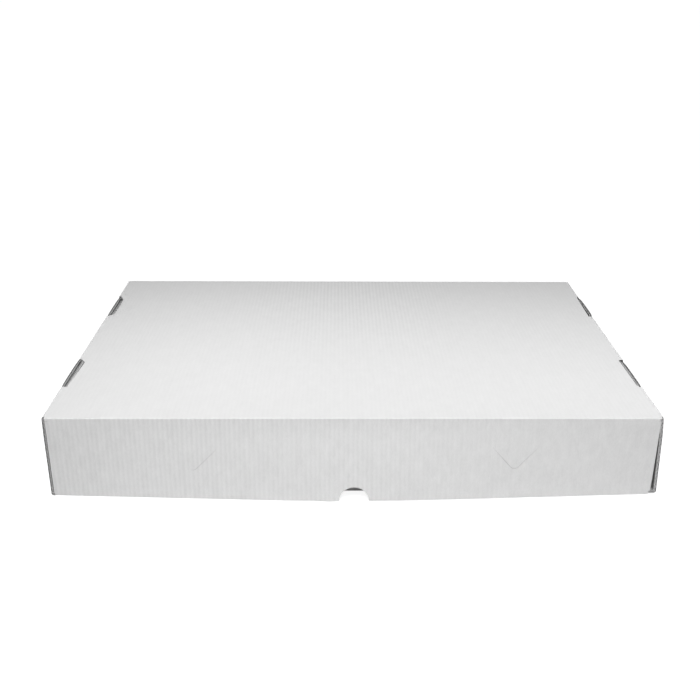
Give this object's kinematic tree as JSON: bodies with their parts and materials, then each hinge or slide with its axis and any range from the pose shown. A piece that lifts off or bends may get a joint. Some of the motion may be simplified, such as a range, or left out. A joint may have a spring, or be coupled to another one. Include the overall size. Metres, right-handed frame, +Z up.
{
  "type": "catering box",
  "caption": "Shallow white corrugated catering box: a folded tray under a full-depth lift-off lid with rolled, tab-locked side walls, thumb notches and V-shaped slits.",
  "frame": {"origin": "centre of the tray's underside, on the table", "axes": "+X to the right along the width as the picture shows the box, -Y out of the front wall that faces the viewer, +Z up"},
  "size_m": [0.56, 0.387, 0.08],
  "materials": {
    "white_board": "matt white paper liner with faint flute stripes, grey at the raw edges"
  },
  "bodies": {
    "base": {"base_tray": "white_board"},
    "lid": {"lid": "white_board"}
  },
  "joints": [
    {"name": "lid_lift", "type": "slide", "parent": "base", "child": "lid", "axis": [0, 0, 1], "range_m": [0, 0.16]}
  ]
}
